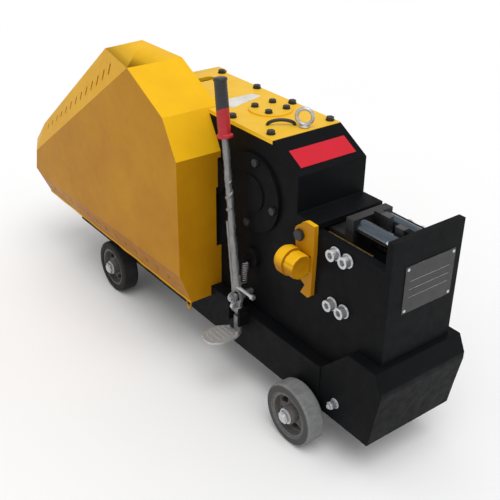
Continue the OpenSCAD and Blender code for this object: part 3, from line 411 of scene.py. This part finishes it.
def turned(profile, origin, axis, sides=48):
    """A lathe-turned shape, closed at both ends, from (distance along the axis, radius) pairs in metres."""
    bm = bmesh.new()
    axis = Vector(axis).normalized()
    u = axis.orthogonal().normalized()
    v = axis.cross(u)
    rings = []
    for along, radius in profile:
        centre = origin + axis * along
        ring = []
        for k in range(sides):
            a = 2 * math.pi * k / sides
            ring.append(bm.verts.new(centre + (u * math.cos(a) + v * math.sin(a)) * radius))
        rings.append(ring)
    for a, b in zip(rings, rings[1:]):
        for k in range(sides):
            bm.faces.new((a[k], a[(k + 1) % sides], b[(k + 1) % sides], b[k]))
    bm.faces.new(rings[0][::-1])
    bm.faces.new(rings[-1])
    return bm


def prism(outline, depth_vector):
    """A closed outline of points pushed along a vector."""
    bm = bmesh.new()
    low = [bm.verts.new(p) for p in outline]
    high = [bm.verts.new(p + depth_vector) for p in outline]
    bm.faces.new(low[::-1])
    bm.faces.new(high)
    for i in range(len(outline)):
        j = (i + 1) % len(outline)
        bm.faces.new((low[i], low[j], high[j], high[i]))
    bmesh.ops.recalc_face_normals(bm, faces=bm.faces)
    return bm


def merged(*meshes):
    """Joins several bmeshes into the first."""
    first = meshes[0]
    for other in meshes[1:]:
        carrier = bpy.data.meshes.new("carrier")
        other.to_mesh(carrier)
        other.free()
        first.from_mesh(carrier)
        bpy.data.meshes.remove(carrier)
    return first


def cut_out(bm, cutters):
    """Subtracts closed meshes from bm and returns the result."""
    made = []
    for part in (bm, merged(*cutters)):
        bmesh.ops.recalc_face_normals(part, faces=part.faces)
        mesh = bpy.data.meshes.new("cut")
        part.to_mesh(mesh)
        part.free()
        piece = bpy.data.objects.new("cut", mesh)
        scene.collection.objects.link(piece)
        made.append(piece)
    change = made[0].modifiers.new("cut", "BOOLEAN")
    change.operation = "DIFFERENCE"
    change.solver = "EXACT"
    change.object = made[1]
    bpy.context.view_layer.update()
    result = bpy.data.meshes.new_from_object(made[0].evaluated_get(bpy.context.evaluated_depsgraph_get()))
    out = bmesh.new()
    out.from_mesh(result)
    for piece in made:
        bpy.data.objects.remove(piece)
    bmesh.ops.remove_doubles(out, verts=out.verts, dist=0.000004)
    bmesh.ops.dissolve_limit(out, angle_limit=math.radians(0.5), verts=out.verts, edges=out.edges)
    return out


def stadium(centre, long_axis, short_axis, half_length, radius, depth):
    """A slot-shaped cutter with round ends, standing across the sheet at centre."""
    normal = long_axis.cross(short_axis).normalized()
    outline = []
    for end, start in ((1, 0.0), (-1, math.pi)):
        for k in range(7):
            a = start + math.pi * k / 6
            outline.append(centre + long_axis * (end * (half_length - radius) + math.sin(a) * radius)
                           + short_axis * (math.cos(a) * radius) - normal * depth)
    return prism(outline, normal * depth * 2)


def washer(centre, axis, inner, outer, thick, sides=40):
    """A flat ring with rounded edges."""
    profile = [(0, inner), (0, outer - 0.0006), (0.0006, outer), (thick - 0.0006, outer), (thick,
            outer - 0.0006), (thick, inner)]
    return turned(profile, centre, axis, sides)


def hex_head(centre, axis, across, height):
    """A forged hexagon head with chamfered corners and edges."""
    axis = Vector(axis).normalized()
    u = axis.orthogonal().normalized()
    v = axis.cross(u)
    corner = across / math.sqrt(3)
    outline = []
    for k in range(6):
        a = math.pi / 3 * k
        outline.append(centre + (u * math.cos(a) + v * math.sin(a)) * corner)
    bm = prism(outline, axis * height)
    return round_edges(bm, min(height, across) * 0.09, 20, 2)


# ---- softened CAD pieces ----

# Level, height less 0.55 of X, at which the grip turns from red to black
GRIP_SPLIT = 0.634
FLOOR_HALF = 90
WORLD_LIGHT = 0.66
KEY_LIGHT = 1.40
KEY_SPREAD = 50

# Edge radius in metres, least angle in degrees, segments, and the nodes that get them
SOFTENED = [
    (0.0022, 25, 3, ("base_frame", "nose_frame", "near_cheek", "far_cheek", "head_bed", "front_plate")),
    (0.0012, 32, 2, ("top_cover", "bearing_caps", "motor_cover", "motor_plate", "axle_brackets",
            "stop_bracket",
                     "label_plate", "terminal_box", "lever_bracket", "fan_cover")),
    (0.0006, 32, 2, ("ram", "moving_blade", "fixed_blade", "gib_strips", "fixed_blade_bolts")),
    (0.0010, 32, 2, ("gib_bolts", "axles", "cover_bolts", "cap_bolts")),
    (0.0012, 32, 2, ("guide_rods",)),
    (0.0022, 30, 3, ("front_near_hub", "front_far_hub", "rear_near_hub", "rear_far_hub")),
    (0.0015, 45, 2, ("front_near_tyre", "front_far_tyre", "rear_near_tyre", "rear_far_tyre")),
    (0.0008, 32, 2, ("flywheel", "motor_pulley", "motor_housing")),
]
for radius, least_angle, segments, names in SOFTENED:
    for name in names:
        softened(name, radius, least_angle, segments)


# ---- gear housing ----


def housing():
    """The walls and plates of the gear case as one welded, rounded box, with the spring's boss and stud."""
    outer = [(-905, 226), (-251, 226), (-251, 557), (-316, 557), (-316, 649), (-412, 704), (-412, 694),
            (-905, 694)]
    inner = [(-891, 238), (-334, 238), (-334, 500), (-250, 500), (-250, 540), (-330, 540), (-330, 641),
            (-420, 705), (-891, 705)]
    case = prism([at(x, -104.5, z) for x, z in outer], Vector((0, 0.209, 0)))
    recess_shade = prism([at(x, -88, z) for x, z in inner], Vector((0, 0.176, 0)))
    rod_hole = turned([(0, 0.00805), (0.04, 0.00805)], at(-481.13, -120, 269), (0, 1, 0), 32)
    case = cut_out(case, [recess_shade, rod_hole])
    long_edges = [e for e in case.edges
                  if len(e.link_faces) == 2 and e.calc_face_angle(0) > 0.5 and e.calc_length() > 0.03]
    round_edges(case, 0.0042, chosen=long_edges, segments=3)
    boss = turned([(0, 0.027), (0.0125, 0.027), (0.0135, 0.026), (0.0135, 0.006), (0.0365, 0.006), (0.0375,
            0.005)],
                  at(-475, -104.5, 373), (0, -1, 0), 48)
    return show("gear_case", merged(case, boss), "frame", MATERIALS["frame_paint"],
                ("housing_shell", "near_wall", "far_wall"))


housing()


# ---- belt guard ----


def belt_guard():
    """The folded sheet guard, with the vent slots of its slanting band and the short ones above its hem."""
    bm = read("belt_guard")
    cutters = []
    across = Vector((1, -0.2139, 0)).normalized()
    upward = Vector((0, 0.3121, 1)).normalized()
    for i in range(13):
        t = i / 12
        x = -956 - 448 * t
        z = 752 - 299 * t
        y = -661.8 - 0.2139 * x + 0.3121 * z
        cutters.append(stadium(at(x, y, z), upward, across, (0.0165 - 0.0075 * t), 0.0042 - 0.0010 * t,
                0.012))
    down = Vector((0, 34, -80)).normalized()
    for i in range(13):
        x = -700 - i * 58
        cutters.append(stadium(at(x, -221, 240), down, Vector((1, 0, 0)), 0.011, 0.0028, 0.012))
    bm = cut_out(bm, cutters)
    folds = []
    rims = []
    for e in bm.edges:
        if len(e.link_faces) != 2:
            continue
        turn = e.calc_face_angle(0)
        if turn < math.radians(8) or e.calc_length() < 0.0012:
            continue
        narrow = min(f.calc_area() / f.calc_perimeter() for f in e.link_faces)
        if narrow < 0.0024 or turn > math.radians(70):
            rims.append(e)
        elif e.calc_length() > 0.02:
            folds.append(e)
    round_edges(bm, 0.0042, chosen=folds, segments=4)
    return show("belt_guard_sheet", bm, "frame", MATERIALS["yellow_sheet"], ("belt_guard",),
            50)


belt_guard()

# Rolled hem along the guard's lower edge, and the bent wire catch under its front corner
hem = tube([at(-617 - 863 * i / 24, -203 + 0.6 * math.sin(i * 2.4),
        197 + 0.7 * math.sin(i * 1.7)) for i in range(25)],
           [0.0034 + 0.0004 * math.sin(i * 2.1) for i in range(25)], 10)
show("guard_hem", hem, "frame", MATERIALS["yellow_sheet"])
catch = []
for i in range(21):
    a = math.pi * i / 20
    catch.append(at(-640 + 9 * math.cos(a), -196, 176 - 12 * math.sin(a)))
catch = [at(-631, -196, 205)] + catch + [at(-649, -196, 205)]
show("guard_catch", tube(catch, [0.0022] * len(catch), 10), "frame", MATERIALS["yellow_sheet"])

# ---- lid details ----

hatch = turned([(0, 0.056), (0.0038, 0.056), (0.005, 0.0548)], at(-578, 20, 704), (0, 0, 1), 72)
show("hatch_disc", hatch, "frame", MATERIALS["yellow_lid"], ("inspection_cover",))
handle = []
for i in range(25):
    t = i / 24
    rise = 704 + 13 * math.sin(math.pi * t) ** 0.45
    handle.append(at(-497 + 38 * t, -54 + 55 * t, rise))
dark_parts = [tube(handle, [0.0042] * 25, 12)]
for quarter in (45, 135, 225, 315):
    x = -578 + 39.5 * math.cos(math.radians(quarter))
    y = 20 + 39.5 * math.sin(math.radians(quarter))
    dark_parts.append(washer(at(x, y, 709), (0, 0, 1), 0.0051, 0.010, 0.0015))
    dark_parts.append(hex_head(at(x, y, 710.5), (0, 0, 1), 0.016, 0.0065))
show("hatch_screws", merged(*dark_parts), "frame", MATERIALS["dark_bolt"], ("inspection_cover",))

sticker = prism([at(-662, -60, 704.05), at(-640, -48, 704.05), at(-672, 62, 704.05), at(-700, 54, 704.05),
        at(-702, -38, 704.05)],
                Vector((0, 0, 0.0004)))
show("lid_sticker", sticker, "frame", sticker_material())

ring = []
for i in range(48):
    a = 2 * math.pi * i / 48
    flat = Matrix.Rotation(math.radians(38), 3, "Z") @ Vector((math.cos(a), 0, math.sin(a)))
    ring.append(at(-436, 10, 730) + flat * 0.0195)
swell = [0.0046 + 0.0004 * abs(math.sin(math.pi * i / 48)) for i in range(48)]
eye = merged(tube(ring, swell, 16, closed=True),
             turned([(0, 0.0124), (0.001, 0.013), (0.0042, 0.013), (0.005, 0.0122), (0.0056, 0.0084),
                     (0.009, 0.008)],
                    at(-436, 10, 704), (0, 0, 1), 36))
show("lifting_eye", eye, "frame", MATERIALS["zinc_steel"], ("eye_bolt",))

# ---- lever ----

LEAN = Vector((-0.13, 0, 1)).normalized()


def on_lever(z, dx=0.0, dy=0.0):
    return at(-468 - 0.13 * (z - 168) + dx, -150 + dy, z)


def lever():
    """A long worn bar: forged flat foot, irregular hand-bent rod and a wrapped section below the grip."""
    steps = 90
    points = []
    radii = []
    for i in range(steps + 1):
        z = 300 + 478 * i / steps
        waver = 0.5 * math.sin(z * 0.041) + 0.3 * math.sin(z * 0.097 + 1)
        points.append(on_lever(z, waver, 0.4 * math.sin(z * 0.053)))
        wide = 0.0094 if z < 430 else 0.0086
        radii.append(wide + 0.0005 * math.sin(z * 0.11) + 0.0004 * math.sin(z * 0.37))
    rod = tube(points, radii, 18)
    wrap = []
    wrap_r = []
    for i in range(181):
        t = i / 180
        z = 452 + 128 * t
        a = 2 * math.pi * 4.2 * t
        wrap.append(on_lever(z, 6.4 * math.cos(a), 6.4 * math.sin(a)))
        wrap_r.append(0.0042 + 0.0014 * math.sin(t * 21) - 0.0030 * abs(2 * t - 1) ** 6)
    wire = tube(wrap, wrap_r, 10)
    brace = tube([on_lever(z, -17 + 0.4 * math.sin(z * 0.2), 0) for z in range(256, 472, 6)], [0.0048] * 36,
            12)
    foot = read("hand_lever")
    gone = [v for v in foot.verts if v.co.z > 0.331]
    bmesh.ops.delete(foot, geom=gone, context="VERTS")
    holes = [e for e in foot.edges if e.is_boundary]
    bmesh.ops.holes_fill(foot, edges=holes)
    round_edges(foot, 0.0014, 32, 2)
    return show("lever_bar", merged(rod, wire, brace, foot), "lever", MATERIALS["lever_steel"],
            ("hand_lever",), 45)


lever()

grip_base = on_lever(683)
profile = [(0.0, 0.012), (0.0, 0.0192), (0.0012, 0.0205), (0.0058, 0.0203), (0.0070, 0.0185), (0.0085,
        0.0160)]
for i in range(60):
    t = i / 59
    swell = 0.0152 + 0.0006 * math.sin(t * 3.1)
    ripple = 0.00045 * max(0.0, math.sin(t * 2 * math.pi * 15)) if 0.42 < t < 0.9 else 0.0
    profile.append((0.010 + 0.122 * t, swell - ripple))
profile += [(0.1335, 0.0160), (0.1350, 0.0170), (0.1385, 0.0168), (0.1405, 0.0155), (0.1417, 0.0125),
        (0.1420, 0.004)]
show("grip_sleeve", turned(profile, grip_base, LEAN, 40), "lever", grip_material(),
        ("lever_grip",))

# Clamp pin on the lever, with the bolts through its foot
pin = merged(turned([(0, 0.0042), (0.004, 0.0046), (0.056, 0.0046), (0.058, 0.007), (0.066, 0.007), (0.067,
        0.0045)],
                    on_lever(296, 4), (1, 0, 0), 20),
             turned([(0, 0.0095), (0.001, 0.0105), (0.008, 0.0105), (0.009, 0.0095)], on_lever(238, -16,
                     -6), (1, 0, 0), 24),
             turned([(0, 0.0075), (0.001, 0.0085), (0.009, 0.0085), (0.010, 0.0075)], on_lever(238, 12, -6),
                     (1, 0, 0), 24))
show("lever_pin", pin, "lever", MATERIALS["zinc_steel"])


# ---- pedal ----


def pedal():
    """Tread plate with cut corners and two holes, three worn ribs across it and two nuts at its root."""
    plate = round_edges(read("foot_pedal"), 0.0009, 40, 2)
    ribs = []
    for y, half in ((-230, 20), (-200, 26), (-174, 24)):
        rib = prism([at(-490 - half, y - 1.5, 165.5), at(-490 + half, y - 1.5, 165.5), at(-490 + half,
                y + 1.5, 165.5),
                     at(-490 - half, y + 1.5, 165.5)], Vector((0, 0, 0.0028)))
        ribs.append(round_edges(rib, 0.0006, 30, 2))
    nuts = [hex_head(at(-500, -165, 166), (0, 0, 1), 0.010, 0.006), hex_head(at(-464, -165, 166), (0, 0, 1),
            0.010, 0.006)]
    return show("pedal_plate", merged(plate, *ribs, *nuts), "lever", MATERIALS["pedal_steel"],
            ("foot_pedal",))


pedal()

# ---- knob, plates and small hardware ----


def knob():
    """Turned cap with a scalloped rim, on its spindle."""
    bm = bmesh.new()
    sides = 72
    stations = [(-280, 0.93), (-277, 1.0), (-255, 1.0), (-251, 0.985), (-248.4, 0.93), (-248, 0.88), (-249,
            0.62), (-249.4, 0.3)]
    rings = []
    for x, k in stations:
        ring = []
        for j in range(sides):
            a = 2 * math.pi * j / sides
            r = 31 * k * (1 - (0.035 * max(0.0, math.cos(a * 9)) ** 3 if k > 0.9 else 0.0))
            ring.append(bm.verts.new(at(x, -142 + r * math.cos(a), 460 + r * math.sin(a))))
        rings.append(ring)
    for a, b in zip(rings, rings[1:]):
        for j in range(sides):
            bm.faces.new((a[j], a[(j + 1) % sides], b[(j + 1) % sides], b[j]))
    bm.faces.new(rings[0][::-1])
    bm.faces.new(rings[-1])
    spindle = turned([(0, 0.013), (0.001, 0.015), (0.008, 0.015), (0.009, 0.013), (0.0091, 0.009), (0.044,
            0.009)],
                     at(-322, -142, 460), (1, 0, 0), 36)
    return show("knob_cap", merged(bm, spindle), "stop_adjuster", MATERIALS["yellow_sheet"],
            ("stop_knob",), 30)


knob()

rating = round_edges(prism([at(-13, -64, 430), at(-13, 88, 430), at(-13, 88, 546), at(-13, -64, 546)],
        Vector((0.0015, 0, 0))), 0.0005, 30, 2)
show("rating_plate", rating, "frame", MATERIALS["rating_plate"], ("nameplate",))
rivets = [turned([(0, 0.0040), (0.0008, 0.0039), (0.0016, 0.0030), (0.0021, 0.0014)], at(-11.5, y, z), (1,
        0, 0), 20)
          for y in (-57, 81) for z in (437, 539)]
rules = []
for y0, y1, z0, z1 in ((-49, 73, 508, 508.4), (-49, 73, 488, 488.4), (-49, 73, 468, 468.4)):
    rules.append(prism([at(-11.5, y0, z0), at(-11.5, y1, z0), at(-11.5, y1, z1), at(-11.5, y0, z1)],
            Vector((0.0003, 0, 0))))
show("plate_rivets", merged(*rivets, *rules), "frame", MATERIALS["zinc_steel"])

# Bolt with two nuts on the nose's side, and the small pin at the front plate's corner
nose_bolt = merged(turned([(0, 0.006), (0.022, 0.006), (0.023, 0.005)], at(-116, -135.6, 156), (0, -1, 0),
        20),
                   washer(at(-116, -135.6, 156), (0, -1, 0), 0.0061, 0.013, 0.002),
                   hex_head(at(-116, -137.6, 156), (0, -1, 0), 0.019, 0.007),
                   hex_head(at(-116, -146.0, 156), (0, -1, 0), 0.019, 0.006))
show("nose_bolt", nose_bolt, "frame", MATERIALS["zinc_steel"])
corner_pin = turned([(0, 0.0035), (0.010, 0.0035), (0.0115, 0.0025)], at(-30, -99, 603), (-1, 0, 0), 16)
show("plate_pin", corner_pin, "frame", MATERIALS["zinc_steel"])

# ---- every other CAD node keeps its shape and gets its finish ----

for node, piece in cad.items():
    for place in piece.material_slots:
        place.material = MATERIALS.get(slot_of[node], MATERIALS["dark_bolt"])

# ---- floor, light and camera ----

floor_recipe = Recipe("studio_floor")
tone = floor_recipe.blend(floor_recipe.span(floor_recipe.noise(0.8, 3, 0.5), 0.3, 0.7), (0.93, 0.93, 0.93),
        (0.95, 0.95, 0.95))
floor_finish = floor_recipe.done(tone, 0.9, specular=0.1)
floor_mesh = bpy.data.meshes.new("floor")
floor_bm = bmesh.new()
bmesh.ops.create_grid(floor_bm, x_segments=4, y_segments=4, size=FLOOR_HALF)
floor_bm.to_mesh(floor_mesh)
floor_bm.free()
floor = bpy.data.objects.new("floor", floor_mesh)
floor_mesh.materials.append(floor_finish)
scene.collection.objects.link(floor)

world = bpy.data.worlds.new("studio")
world.use_nodes = True
world.node_tree.nodes["Background"].inputs["Color"].default_value = (1.0, 1.0, 1.0, 1.0)
world.node_tree.nodes["Background"].inputs["Strength"].default_value = WORLD_LIGHT
scene.world = world
scene.view_settings.view_transform = "Standard"


def sun(name, direction, strength, spread):
    light = bpy.data.lights.new(name, "SUN")
    light.energy = strength
    light.angle = math.radians(spread)
    holder = bpy.data.objects.new(name, light)
    holder.rotation_euler = Vector(direction).to_track_quat("-Z", "Y").to_euler()
    scene.collection.objects.link(holder)


sun("key", (-0.35, 0.12, -1.0), KEY_LIGHT, KEY_SPREAD)

right = Vector((0.59968, 0.79996, 0.01158))
up = Vector((-0.39746, 0.28545, 0.87196))
back = Vector((0.69400, -0.52733, 0.48942))
camera_data = bpy.data.cameras.new("camera")
camera_data.lens = 59.76
camera_data.sensor_width = 36
camera_data.clip_start = 0.05
camera = bpy.data.objects.new("camera", camera_data)
turn = Matrix((right, up, back)).transposed().to_4x4()
camera.matrix_world = Matrix.Translation((1.7186, -1.1933, 1.409)) @ turn
scene.collection.objects.link(camera)
scene.camera = camera

bpy.context.view_layer.update()
